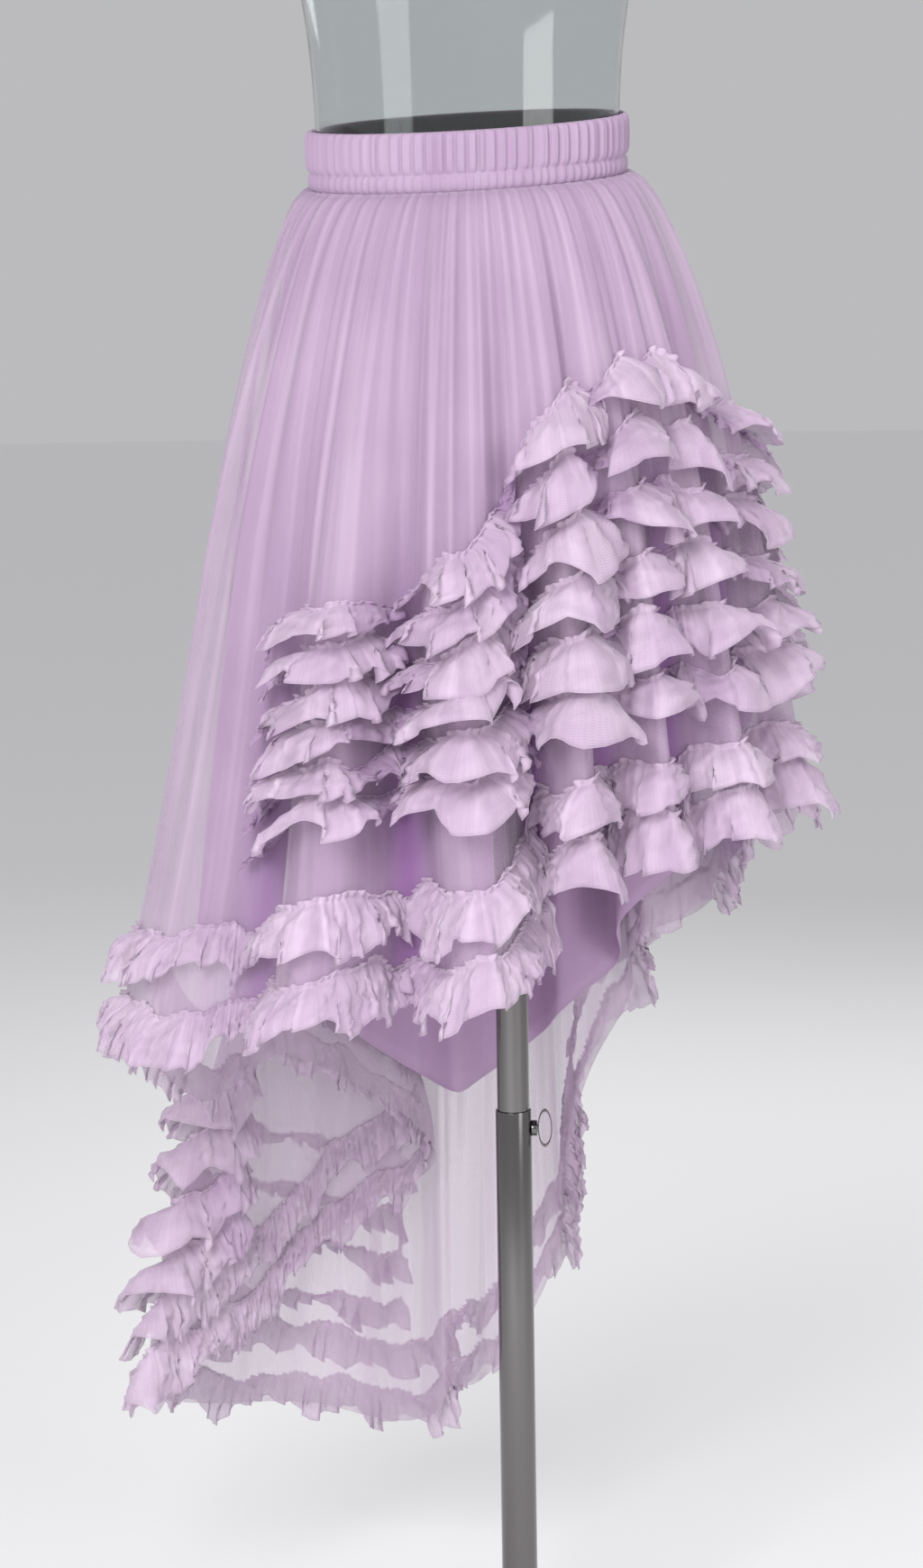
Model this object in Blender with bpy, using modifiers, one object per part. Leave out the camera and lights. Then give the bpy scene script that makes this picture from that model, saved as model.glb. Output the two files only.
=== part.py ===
"""A long net skirt with a high-low hem and rows of frills, on a clear dress form with a telescopic stand.

Blender 4.5, metres, +Z up, +X to the right of the photograph and +Y away from its camera.
The pole stands on x = 0, y = 0, and z = 0 is the floor.
"""

import math

import bmesh
import bpy
import numpy as np

MM = 0.001

# Stand, in metres
BASE_RADIUS = 0.160
BASE_THICK = 0.008
TUBE_RADIUS = 0.014
TUBE_BORE = 0.0128
TUBE_TOP = 0.482
POLE_RADIUS = 0.0125
POLE_BORE = 0.0110
POLE_FOOT = 0.200
POLE_TOP = 0.960
SCREW_HEIGHT = 0.467
SCREW_RADIUS = 0.003
SCREW_HOLE = 0.0034
SEAM_GAP = 0.0003

# Waist: middle of the waist ellipse, its half-width and half-depth, and the tilt of the band
WAIST_X = -0.0245
WAIST_HALF_WIDTH = 0.1205
WAIST_HALF_DEPTH = 0.0970
WAIST_TOP = 1.2425
WAIST_RISE_RIGHT = 0.043
WAIST_RISE_BACK = 0.120
BAND_HEIGHT = 0.031
STRIP_HEIGHT = 0.012
BAND_THICK = 0.0040

# Cloth
NET_THICK = 0.0012
LINING_THICK = 0.0013
FRILL_THICK = 0.0010
FRILL_DROP = 0.025
HEM_FRILL_DROP = 0.030
FRILL_LIFT = 0.0018
FRILL_SEAM_LIFT = 0.0010
LOWER_SEAM = 0.022
FULL_PUFF = 24.0
SHARPEST_TURN = 0.42
FLARE = 0.61
FOLD_GROWTH = 1.2
LINING_DRAW_IN = 1.3
LINING_EASE = 0.004

# Where the frill rows start and end round the waist, in degrees, and how many there are
RIGHT_ROWS_START = 342.0
RIGHT_ROWS_END = 138.0
RIGHT_ROWS = 6
BACK_ROWS_START = 219.0
BACK_ROWS_END = 253.0
BACK_ROWS = 4

# Counts round the skirt
COLUMNS_PER_FOLD = 3
NET_LEVELS = (0.0, 0.05, 0.20, 0.38, 0.54, 0.66, 0.76, 0.85, 0.93, 1.0)
LINING_LEVELS = (0.0, 0.08, 0.26, 0.50, 0.75, 1.0)
BAND_GATHERS = 30
COLUMNS_PER_WAVE = 4

# Each fold of the net, clockwise from the right side as seen from above. Angles are in degrees, lengths in mm.
# at: its place round the waist. swing: how far round the hem it has moved from there.
# reach: hem radius. cone: the same without the folds. height: hem above the floor. puff: how far frills stand out.
# top and low: height of the first and the last frill row above the hem. gap: from hem frill to hem frill.
FOLD_COLUMNS = ("at", "swing", "reach", "cone", "height", "puff", "top", "low", "gap")
FOLDS = (
    (2, 0, 226, 250, 738, 6, 272, 106, 30),
    (12, 0, 254, 245, 735, 20, 285, 108, 30),
    (23, 0, 208, 238, 727, 5, 305, 110, 30),
    (34, 2, 246, 231, 722, 20, 334, 115, 32),
    (43, 2, 202, 226, 718, 5, 342, 118, 34),
    (52, 2, 240, 223, 713, 20, 344, 120, 36),
    (60, 2, 196, 222, 708, 5, 338, 122, 39),
    (69, 2, 250, 222, 703, 22, 328, 125, 42),
    (81, -4, 184, 224, 668, 4, 314, 130, 48),
    (94, -5, 264, 230, 616, 25, 304, 150, 52),
    (108, -2, 194, 236, 612, 5, 286, 152, 52),
    (120, -2, 274, 242, 602, 24, 286, 146, 54),
    (134, 4, 224, 250, 580, 5, 290, 138, 54),
    (148, 4, 280, 250, 562, 15, 270, 130, 58),
    (162, 8, 284, 248, 556, 15, 270, 116, 54),
    (174, 14, 226, 244, 486, 8, 280, 110, 52),
    (185, 27, 186, 248, 508, 6, 290, 104, 46),
    (198, 59, 170, 256, 408, 3, 300, 100, 46),
    (207, 32, 220, 258, 348, 4, 306, 100, 46),
    (217, 4, 262, 260, 276, 7, 236, 100, 46),
    (228, -26, 300, 262, 228, 20, 236, 100, 46),
    (236, -16, 312, 264, 190, 8, 236, 100, 46),
    (244, -6, 290, 264, 176, 8, 236, 100, 46),
    (254, 2, 268, 260, 152, 20, 236, 100, 46),
    (263, 0, 216, 254, 196, 4, 312, 100, 46),
    (271, 0, 260, 252, 194, 20, 310, 100, 46),
    (284, 0, 274, 252, 304, 20, 306, 100, 46),
    (292, -2, 222, 250, 414, 5, 302, 100, 44),
    (301, -3, 266, 250, 524, 20, 300, 98, 44),
    (311, -5, 222, 250, 580, 5, 300, 96, 40),
    (322, -9, 264, 250, 604, 20, 294, 92, 36),
    (340, -4, 228, 252, 672, 5, 280, 106, 32),
    (351, -1, 253, 252, 714, 19, 270, 106, 31),
)

# The lining, in the same way: how far its hem hangs inside the net, and how high that is
LINING_FOLD_COLUMNS = ("at", "gap", "height")
LINING_FOLDS = (
    (0, 12, 806),
    (25, 14, 796),
    (45, 14, 790),
    (68, 16, 784),
    (90, 18, 742),
    (115, 26, 688),
    (140, 34, 655),
    (165, 38, 622),
    (185, 12, 600),
    (198, 14, 580),
    (212, 62, 552),
    (230, 96, 520),
    (248, 82, 486),
    (265, 40, 464),
    (290, 34, 520),
    (320, 40, 646),
    (340, 26, 740),
)

# Seams between the lining's gores, at these places round the waist
LINING_GORES = {
    "lining_front_right": (0, 90),
    "lining_front_left": (90, 180),
    "lining_back_left": (180, 270),
    "lining_back_right": (270, 360),
}

# The dress form by level: height, half-width, half-depth and how far it is in front of the waist's middle
FORM_SECTIONS = (
    (0.940, 0.138, 0.100, -0.002),
    (0.985, 0.147, 0.107, -0.004),
    (1.040, 0.146, 0.107, -0.004),
    (1.110, 0.133, 0.099, -0.002),
    (1.160, 0.1190, 0.0940, 0.000),
    (1.195, 0.1158, 0.0922, 0.000),
    (1.262, 0.1156, 0.0920, 0.000),
    (1.330, 0.1225, 0.0980, 0.004),
    (1.400, 0.1370, 0.1100, 0.009),
    (1.470, 0.1480, 0.1180, 0.012),
    (1.530, 0.1560, 0.1080, 0.006),
    (1.580, 0.1620, 0.0900, -0.002),
    (1.615, 0.1500, 0.0720, -0.008),
    (1.640, 0.1080, 0.0600, -0.010),
    (1.660, 0.0660, 0.0540, -0.010),
    (1.700, 0.0560, 0.0560, -0.010),
)
FORM_SEGMENTS = 24
FORM_THICK = 0.003

# Colours, roughness and metallic value
LOOKS = {
    "net": ((0.62, 0.46, 0.68), 0.75, 0.0),
    "frill": ((0.70, 0.53, 0.73), 0.75, 0.0),
    "lining": ((0.55, 0.37, 0.64), 0.7, 0.0),
    "band": ((0.60, 0.43, 0.68), 0.7, 0.0),
    "clear": ((0.80, 0.83, 0.84), 0.08, 0.0),
    "steel": ((0.46, 0.46, 0.45), 0.25, 1.0),
    "chrome": ((0.68, 0.68, 0.67), 0.15, 1.0),
}


def collection_named(name, visible):
    made = bpy.data.collections.new(name)
    made.hide_render = not visible
    bpy.context.scene.collection.children.link(made)
    return made


def material_named(name):
    made = bpy.data.materials.new(name)
    made.use_nodes = True
    colour, roughness, metallic = LOOKS[name]
    shader = made.node_tree.nodes["Principled BSDF"]
    shader.inputs["Base Color"].default_value = (*colour, 1.0)
    shader.inputs["Roughness"].default_value = roughness
    shader.inputs["Metallic"].default_value = metallic
    made.diffuse_color = (*colour, 1.0)
    return made


def mesh_object(name, points, faces, look, collection, smooth=True):
    """One object from points and faces, with its faces turned outwards."""
    mesh = bpy.data.meshes.new(name)
    mesh.from_pydata([tuple(point) for point in points], [], faces)
    shaped = bmesh.new()
    shaped.from_mesh(mesh)
    bmesh.ops.recalc_face_normals(shaped, faces=shaped.faces)
    shaped.to_mesh(mesh)
    shaped.free()
    for polygon in mesh.polygons:
        polygon.use_smooth = smooth
    if look:
        mesh.materials.append(materials[look])
    made = bpy.data.objects.new(name, mesh)
    collection.objects.link(made)
    return made


def turned(name, profile, steps, look, collection):
    """A round piece: the profile's points (radius, height) spun about the pole's axis."""
    edges = [(i, i + 1) for i in range(len(profile) - 1)]
    if profile[0][0] > 0.0:
        edges.append((len(profile) - 1, 0))
    mesh = bpy.data.meshes.new(name)
    mesh.from_pydata([(radius, 0.0, height) for radius, height in profile], edges, [])
    made = bpy.data.objects.new(name, mesh)
    collection.objects.link(made)
    if look:
        mesh.materials.append(materials[look])
    spin = made.modifiers.new("Spin", "SCREW")
    spin.axis = "Z"
    spin.steps = steps
    spin.render_steps = steps
    spin.use_merge_vertices = True
    spin.merge_threshold = 0.00005
    spin.use_smooth_shade = True
    spin.use_normal_flip = True
    return made


def cut(made, cutter, operation="DIFFERENCE"):
    step = made.modifiers.new(cutter.name, "BOOLEAN")
    step.operation = operation
    step.object = cutter
    step.solver = "EXACT"


def rod_along_x(name, start, end, radius, steps, look, collection):
    """A round rod along X at the screw's height."""
    ring = [2.0 * math.pi * i / steps for i in range(steps)]
    points = [
        (x, radius * math.sin(turn), SCREW_HEIGHT + radius * math.cos(turn))
        for x in (start, end)
        for turn in ring
    ]
    faces = [tuple(range(steps)), tuple(range(steps, 2 * steps))]
    faces += [(i, (i + 1) % steps, (i + 1) % steps + steps, i + steps) for i in range(steps)]
    return mesh_object(name, points, faces, look, collection)


def table(names, rows):
    """The rows of a table as one array for each named column."""
    return {name: np.array(column, float) for name, column in zip(names, zip(*rows))}


def round_and_round(columns, name, at):
    """Smooth value of a column at angles `at`, closed on itself after 360 degrees."""
    knots = np.concatenate([columns["at"] - 360.0, columns["at"], columns["at"] + 360.0])
    values = np.tile(columns[name], 3)
    step = np.diff(knots)
    slope = np.diff(values) / step
    tangent = np.zeros_like(values)
    tangent[1:-1] = (slope[:-1] * step[1:] + slope[1:] * step[:-1]) / (step[1:] + step[:-1])
    at = np.mod(np.asarray(at, float), 360.0)
    i = np.clip(np.searchsorted(knots, at, side="right") - 1, 0, len(step) - 1)
    part = (at - knots[i]) / step[i]
    return (
        values[i] * (1 + 2 * part) * (1 - part) ** 2
        + tangent[i] * step[i] * part * (1 - part) ** 2
        + values[i + 1] * part**2 * (3 - 2 * part)
        + tangent[i + 1] * step[i] * part**2 * (part - 1)
    )


def waist_radius(at):
    turn = np.radians(at)
    across = (WAIST_HALF_DEPTH * np.cos(turn)) ** 2 + (WAIST_HALF_WIDTH * np.sin(turn)) ** 2
    return WAIST_HALF_WIDTH * WAIST_HALF_DEPTH / np.sqrt(across)


def place(angle, radius):
    """x and y of a point at a clockwise angle and a radius from the waist's middle."""
    turn = np.radians(angle)
    return WAIST_X + radius * np.cos(turn), -radius * np.sin(turn)


def waist_height(x, y):
    """Top of the waistband over x, y."""
    return WAIST_TOP + WAIST_RISE_RIGHT * (x - WAIST_X) + WAIST_RISE_BACK * y


def top_of_net(at, inset):
    """Where the net or the lining starts, just under the waistband."""
    x, y = place(at, waist_radius(at) - inset)
    return waist_height(x, y) - BAND_HEIGHT - STRIP_HEIGHT - SEAM_GAP


def net_radius(at, along):
    start = waist_radius(at) - SEAM_GAP
    cone = round_and_round(folds, "cone", at) * MM
    reach = round_and_round(folds, "reach", at) * MM
    flare = along**FLARE
    return start + (cone - start) * flare + (reach - cone) * along**FOLD_GROWTH


def net_point(at, along):
    """Outer face of the net at waist angle `at`, from 0 at the waist to 1 at the hem."""
    late = np.clip((along - 0.45) / 0.55, 0.0, 1.0)
    angle = at + round_and_round(folds, "swing", at) * late**2 * (3 - 2 * late)
    x, y = place(angle, net_radius(at, along))
    top = top_of_net(at, SEAM_GAP)
    hem = round_and_round(folds, "height", at) * MM
    return np.stack([x, y, top + (hem - top) * along], axis=-1)


def lining_point(at, along):
    """Outer face of the lining, which hangs inside the net and follows its folds, but not the swing of its hem."""
    top = top_of_net(at, NET_THICK + 2 * SEAM_GAP)
    height = top + (round_and_round(lining_folds, "height", at) * MM - top) * along
    net_hem = round_and_round(folds, "height", at) * MM
    beside = np.clip((top - height) / (top - net_hem), 0.0, 1.0)
    gap = round_and_round(lining_folds, "gap", at) * MM
    gap = gap * along**LINING_DRAW_IN + LINING_EASE * np.clip(along / LINING_LEVELS[1], 0.0, 1.0)
    radius = net_radius(at, beside) - NET_THICK - 2 * SEAM_GAP - gap
    x, y = place(at, radius)
    return np.stack([x, y, height], axis=-1)


def grid_of(point, columns, rows):
    """Points of a surface, one row of the grid for each entry of rows."""
    return np.stack([point(columns, np.full_like(columns, row)) for row in rows])


def outward(grid, closed=True):
    """Normals of a grid that goes round the skirt, longer at a sharp turn so that a wall keeps its thickness there."""
    after = np.roll(grid, -1, axis=1) if closed else grid[:, 1:]
    here = grid if closed else grid[:, :-1]
    along = after[:-1] - here[:-1] + after[1:] - here[1:]
    down = here[1:] - here[:-1] + after[1:] - after[:-1]
    faces = np.cross(along, down)
    faces /= np.linalg.norm(faces, axis=2, keepdims=True)
    faces = np.concatenate([faces[:1], faces, faces[-1:]])
    if closed:
        faces = np.concatenate([faces[:, -1:], faces], axis=1)
    else:
        faces = np.concatenate([faces[:, :1], faces, faces[:, -1:]], axis=1)
    around = np.stack([faces[:-1, :-1], faces[:-1, 1:], faces[1:, :-1], faces[1:, 1:]])
    normal = around.sum(axis=0)
    normal /= np.linalg.norm(normal, axis=2, keepdims=True)
    agreement = (around * normal).sum(axis=3, keepdims=True).min(axis=0)
    return normal / np.clip(agreement, SHARPEST_TURN, 1.0)


def walled(name, outer, inner, closed, look, collection):
    """A wall between two grids of the same shape, with its edges closed."""
    rows, columns = outer.shape[:2]
    size = rows * columns
    points = np.concatenate([outer.reshape(-1, 3), inner.reshape(-1, 3)])
    last = columns if closed else columns - 1
    faces = []
    for i in range(rows - 1):
        for j in range(last):
            k = (j + 1) % columns
            a, b, c, d = i * columns + j, i * columns + k, (i + 1) * columns + k, (i + 1) * columns + j
            # Both faces of the wall are split along the same diagonal, so that a twisted piece keeps its thickness.
            for corners in ((a, b, c), (a, c, d)):
                faces.append(corners)
                faces.append(tuple(size + corner for corner in reversed(corners)))
    for j in range(last):
        k = (j + 1) % columns
        low = (rows - 1) * columns
        faces.append((j, size + j, size + k, k))
        faces.append((low + j, low + k, size + low + k, size + low + j))
    if not closed:
        for i in range(rows - 1):
            a, b = i * columns, (i + 1) * columns
            faces.append((a, b, size + b, size + a))
            a, b = a + columns - 1, b + columns - 1
            faces.append((a, size + a, size + b, b))
    return mesh_object(name, points, faces, look, collection)


def frill(name, seam_height, drop, order, closed, phase):
    """A gathered strip sewn to the net by its upper edge, along the net's own columns in `order`."""
    at = net_columns[order]
    puff = round_and_round(folds, "puff", at)
    puff *= puff * MM / FULL_PUFF
    waves = round(len(order) / COLUMNS_PER_WAVE)
    wave = np.cos(2.0 * math.pi * (waves * np.arange(len(order)) / len(order) + phase))
    levels = (
        (0.0, FRILL_SEAM_LIFT, np.zeros_like(puff)),
        (0.42, FRILL_LIFT, 0.78 * puff * (1 + 0.10 * wave)),
        (1.0, FRILL_LIFT, puff * (0.86 + 0.22 * wave)),
    )
    outer = []
    for fall, lift, out in levels:
        point, normal = on_net(order, seam_height(at) - fall * drop)
        unit = normal / np.linalg.norm(normal, axis=1, keepdims=True)
        outer.append(point + normal * (lift + FRILL_THICK) + unit * out[:, None])
    outer = np.stack(outer)
    return walled(name, outer, outer - outward(outer, closed) * FRILL_THICK, closed, "frill", skirt_parts)


def on_net(order, height):
    """Points and normals of the net's own mesh at a height above its hem, below the hem too."""
    top = net_grid[0, order, 2]
    hem = net_grid[-1, order, 2]
    along = 1.0 - height / (top - hem)
    i = np.clip(np.searchsorted(net_rows, along, side="right") - 1, 0, len(net_rows) - 2)
    part = ((along - net_rows[i]) / (net_rows[i + 1] - net_rows[i]))[:, None]
    point = net_grid[i, order] * (1 - part) + net_grid[i + 1, order] * part
    normal = net_normals[i, order] * (1 - part) + net_normals[i + 1, order] * part
    return point, normal


# Empty the scene
for leftover in list(bpy.data.objects):
    bpy.data.objects.remove(leftover, do_unlink=True)

materials = {name: material_named(name) for name in LOOKS}
skirt_parts = collection_named("mesh_skirt_on_dress_form", True)
cutters = collection_named("cutters", False)
folds = table(FOLD_COLUMNS, FOLDS)
lining_folds = table(LINING_FOLD_COLUMNS, LINING_FOLDS)

# Base plate, a weighted disc with a low boss that the tube stands in
BOSS_RADIUS = 0.024
BOSS_TOP = 0.034
turned(
    "base_plate",
    [
        (0.0, 0.0),
        (BASE_RADIUS - 0.002, 0.0),
        (BASE_RADIUS, 0.002),
        (BASE_RADIUS, BASE_THICK - 0.002),
        (BASE_RADIUS - 0.003, BASE_THICK),
        (BOSS_RADIUS + 0.004, BASE_THICK + 0.002),
        (BOSS_RADIUS, BASE_THICK + 0.006),
        (BOSS_RADIUS - 0.001, BOSS_TOP),
        (TUBE_RADIUS + SEAM_GAP, BOSS_TOP),
        (TUBE_RADIUS + SEAM_GAP, BASE_THICK),
        (0.0, BASE_THICK),
    ],
    32,
    "steel",
    skirt_parts,
)

# Lower tube, standing in the boss, with a hole for the clamp screw
lower_tube = turned(
    "lower_tube",
    [
        (TUBE_BORE, BASE_THICK + SEAM_GAP),
        (TUBE_RADIUS, BASE_THICK + SEAM_GAP),
        (TUBE_RADIUS, TUBE_TOP - 0.0006),
        (TUBE_RADIUS - 0.0006, TUBE_TOP),
        (TUBE_BORE, TUBE_TOP),
    ],
    32,
    "chrome",
    skirt_parts,
)
cut(lower_tube, rod_along_x("screw_hole", 0.006, 0.030, SCREW_HOLE, 16, None, cutters))

# Upper pole, which slides and turns in the lower tube
turned(
    "upper_pole",
    [
        (POLE_BORE, POLE_FOOT),
        (POLE_RADIUS, POLE_FOOT),
        (POLE_RADIUS, POLE_TOP),
        (POLE_BORE, POLE_TOP),
    ],
    32,
    "chrome",
    skirt_parts,
)

# Threaded boss on the lower tube, shaped to sit against it
boss = rod_along_x("clamp_boss", 0.009, 0.0180, 0.0062, 24, "chrome", skirt_parts)
tube_room = turned(
    "tube_room",
    [
        (0.0, TUBE_TOP - 0.040),
        (TUBE_RADIUS + SEAM_GAP, TUBE_TOP - 0.040),
        (TUBE_RADIUS + SEAM_GAP, TUBE_TOP + 0.010),
        (0.0, TUBE_TOP + 0.010),
    ],
    64,
    None,
    cutters,
)
cut(boss, tube_room)
cut(boss, rod_along_x("boss_hole", 0.004, 0.030, SCREW_HOLE, 16, None, cutters))

# Clamp screw with an oval wire handle
LOOP_MIDDLE = 0.0245
LOOP_HALF_WIDTH = 0.0052
LOOP_HALF_HEIGHT = 0.0140
LOOP_WIRE = 0.0012
screw = rod_along_x(
    "clamp_screw", POLE_RADIUS + SEAM_GAP, LOOP_MIDDLE - LOOP_HALF_WIDTH, SCREW_RADIUS, 16, "chrome", skirt_parts
)
loop_points = []
loop_faces = []
LOOP_STEPS = 20
WIRE_STEPS = 6
for i in range(LOOP_STEPS):
    turn = 2.0 * math.pi * i / LOOP_STEPS
    middle = np.array(
        [LOOP_MIDDLE + LOOP_HALF_WIDTH * math.cos(turn), 0.0, SCREW_HEIGHT + LOOP_HALF_HEIGHT * math.sin(turn)]
    )
    away = np.array([LOOP_HALF_HEIGHT * math.cos(turn), 0.0, LOOP_HALF_WIDTH * math.sin(turn)])
    away /= np.linalg.norm(away)
    for j in range(WIRE_STEPS):
        spin = 2.0 * math.pi * j / WIRE_STEPS
        side = np.array([0.0, math.sin(spin), 0.0])
        loop_points.append(middle + LOOP_WIRE * (math.cos(spin) * away + side))
        corner = (j + 1) % WIRE_STEPS
        after = (i + 1) % LOOP_STEPS
        loop_faces.append(
            (
                i * WIRE_STEPS + j,
                i * WIRE_STEPS + corner,
                after * WIRE_STEPS + corner,
                after * WIRE_STEPS + j,
            )
        )
loop = mesh_object("screw_loop", loop_points, loop_faces, None, cutters)
cut(screw, loop, "UNION")

# Clear dress form: a smooth thin shell, open below, from the hips to the neck
form_outer = []
form_inner = []
for height, half_width, half_depth, forward in FORM_SECTIONS:
    turn = 2.0 * math.pi * np.arange(FORM_SEGMENTS) / FORM_SEGMENTS
    for ring, less in ((form_outer, 0.0), (form_inner, FORM_THICK)):
        x = WAIST_X + (half_width - less) * np.cos(turn)
        y = -forward - (half_depth - less) * np.sin(turn)
        ring.append(np.stack([x, y, np.full_like(x, height)], axis=-1))
walled("form_shell", np.stack(form_outer), np.stack(form_inner), True, "clear", skirt_parts)

# Foot of the form: an oval plate under its rim, and the socket that stands on the pole
foot_height, foot_width, foot_depth, foot_forward = FORM_SECTIONS[0]
PLATE_THICK = 0.006
SOCKET_RADIUS = 0.020
SOCKET_TOP = 1.010
SOCKET_FOOT = 0.920
plate_top = foot_height - SEAM_GAP
plate_ring = 2.0 * math.pi * np.arange(FORM_SEGMENTS) / FORM_SEGMENTS
plate_points = [
    (WAIST_X + foot_width * math.cos(turn), -foot_forward - foot_depth * math.sin(turn), level)
    for level in (plate_top, plate_top - PLATE_THICK)
    for turn in plate_ring
]
plate_faces = [tuple(range(FORM_SEGMENTS)), tuple(range(FORM_SEGMENTS, 2 * FORM_SEGMENTS))]
for i in range(FORM_SEGMENTS):
    after = (i + 1) % FORM_SEGMENTS
    plate_faces.append((i, after, after + FORM_SEGMENTS, i + FORM_SEGMENTS))
socket = mesh_object("form_socket", plate_points, plate_faces, "clear", skirt_parts, smooth=False)
sleeve_profile = [
    (0.0, SOCKET_FOOT),
    (SOCKET_RADIUS, SOCKET_FOOT),
    (SOCKET_RADIUS, SOCKET_TOP),
    (0.0, SOCKET_TOP),
]
bore_radius = POLE_RADIUS + SEAM_GAP
bore_top = POLE_TOP + SEAM_GAP
bore_foot = SOCKET_FOOT - 0.01
bore_profile = [(0.0, bore_foot), (bore_radius, bore_foot), (bore_radius, bore_top), (0.0, bore_top)]
cut(socket, turned("socket_sleeve", sleeve_profile, 32, None, cutters), "UNION")
cut(socket, turned("socket_bore", bore_profile, 32, None, cutters))

# Cap on the neck
neck_height, neck_width, neck_depth, neck_forward = FORM_SECTIONS[-1]
CAP_RISE = 0.012
cap = turned(
    "neck_cap",
    [
        (0.0, neck_height + SEAM_GAP),
        (neck_width, neck_height + SEAM_GAP),
        (neck_width + 0.002, neck_height + 0.003),
        (neck_width + 0.002, neck_height + CAP_RISE - 0.003),
        (neck_width - 0.002, neck_height + CAP_RISE),
        (0.0, neck_height + CAP_RISE),
    ],
    32,
    "steel",
    skirt_parts,
)
cap.location = (WAIST_X, -neck_forward, 0.0)

# Waistband: a gathered casing over elastic, and the narrow ruched strip under it
band_at = np.arange(2 * BAND_GATHERS) * 180.0 / BAND_GATHERS
gather = np.where(np.arange(2 * BAND_GATHERS) % 2 == 0, 0.0, 0.0011)
BAND_LEVELS = (
    # below the top, how much of the gathers shows, inset of the outer face
    (0.0, 0.3, 0.0008),
    (0.014, 1.0, 0.0),
    (BAND_HEIGHT, 0.2, 0.0012),
    (BAND_HEIGHT + STRIP_HEIGHT, 0.5, 0.0004),
)
band_outer = []
band_inner = []
for below, share, inset in BAND_LEVELS:
    radius = waist_radius(band_at)
    for ring, less in ((band_outer, inset + share * gather), (band_inner, BAND_THICK)):
        x, y = place(band_at, radius - less)
        ring.append(np.stack([x, y, waist_height(x, y) - below], axis=-1))
walled("waistband", np.stack(band_outer), np.stack(band_inner), True, "band", skirt_parts)

# Net overskirt
fold_ends = np.append(folds["at"], 360.0)
net_columns = np.concatenate(
    [np.linspace(a, b, COLUMNS_PER_FOLD, endpoint=False) for a, b in zip(fold_ends[:-1], fold_ends[1:])]
)
net_rows = np.array(NET_LEVELS)
net_grid = grid_of(net_point, net_columns, net_rows)
net_normals = outward(net_grid)
walled("overskirt", net_grid, net_grid - net_normals * NET_THICK, True, "net", skirt_parts)

# Lining, cut as four gores that are sewn edge to edge: front right, front left, back left and back right
lining_grid = grid_of(lining_point, net_columns, LINING_LEVELS)
lining_wall = lining_grid - outward(lining_grid) * LINING_THICK
for name, (first, last) in LINING_GORES.items():
    seams = np.searchsorted(net_columns, (first, last))
    columns = np.arange(seams[0], seams[1] + 1) % len(net_columns)
    faces_of_gore = []
    for grid in (lining_grid, lining_wall):
        gore = grid[:, columns].copy()
        for edge, beside in ((0, 1), (-1, -2)):
            inward = gore[:, beside] - gore[:, edge]
            inward /= np.linalg.norm(inward, axis=1, keepdims=True)
            gore[:, edge] += inward * SEAM_GAP / 2
        faces_of_gore.append(gore)
    walled(name, *faces_of_gore, False, "lining", skirt_parts)

# Six frill rows from the right side round to the front left, and four short ones on the long fold at the back left
everywhere = np.arange(len(net_columns))
right_to_left = np.concatenate(
    [everywhere[net_columns >= RIGHT_ROWS_START], everywhere[net_columns <= RIGHT_ROWS_END]]
)
back_left = everywhere[(net_columns >= BACK_ROWS_START) & (net_columns <= BACK_ROWS_END)]
ROW_GROUPS = (("frill_row", RIGHT_ROWS, right_to_left), ("back_frill_row", BACK_ROWS, back_left))
for group, rows, order in ROW_GROUPS:
    for number in range(rows):
        share = number / (rows - 1)

        def row_height(at, share=share):
            top = round_and_round(folds, "top", at)
            low = round_and_round(folds, "low", at)
            return (top + (low - top) * share) * MM

        frill(f"{group}_{number + 1}", row_height, FRILL_DROP, order, False, 0.25 * (number % 2))

# Two frills round the whole hem
frill("hem_frill_lower", lambda at: np.full_like(at, LOWER_SEAM), HEM_FRILL_DROP, everywhere, True, 0.0)
frill(
    "hem_frill_upper",
    lambda at: LOWER_SEAM + round_and_round(folds, "gap", at) * MM,
    FRILL_DROP,
    everywhere,
    True,
    0.5,
)
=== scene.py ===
import math

import bmesh
import bpy
import numpy as np
from mathutils import Matrix


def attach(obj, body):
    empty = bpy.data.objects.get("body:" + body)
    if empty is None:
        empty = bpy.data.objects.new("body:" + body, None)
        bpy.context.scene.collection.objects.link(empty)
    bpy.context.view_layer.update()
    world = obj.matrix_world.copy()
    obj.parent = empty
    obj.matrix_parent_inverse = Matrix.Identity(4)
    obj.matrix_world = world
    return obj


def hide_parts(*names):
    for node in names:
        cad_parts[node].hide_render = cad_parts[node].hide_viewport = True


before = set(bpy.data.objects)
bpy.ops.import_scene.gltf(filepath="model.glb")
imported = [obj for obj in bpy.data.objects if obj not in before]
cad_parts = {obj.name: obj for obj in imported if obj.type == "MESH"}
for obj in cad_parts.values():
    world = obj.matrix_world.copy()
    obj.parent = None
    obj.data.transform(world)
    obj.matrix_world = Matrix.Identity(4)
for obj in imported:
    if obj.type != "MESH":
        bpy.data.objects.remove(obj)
bpy.ops.object.select_all(action="DESELECT")
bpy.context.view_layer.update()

# Studio: a pale floor under soft lamps, seen from a little below the waist, 2.8 m in front of the pole.
# The camera stands where the photograph was taken from, worked out from the waist, the hem and the pole.
PHOTO_HEIGHT_PX = 1740
FOCAL_LENGTH_PX = 4060
SENSOR_HEIGHT_MM = 24
CAMERA_PLACE = (-0.0365, -2.8, 1.10)
CAMERA_DOWN_DEG = 7.350916
CAMERA_ROLL_DEG = -0.9
bpy.ops.object.camera_add(location=CAMERA_PLACE)
camera = bpy.context.object
camera.data.sensor_width = SENSOR_HEIGHT_MM
camera.data.lens = SENSOR_HEIGHT_MM * FOCAL_LENGTH_PX / PHOTO_HEIGHT_PX
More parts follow.
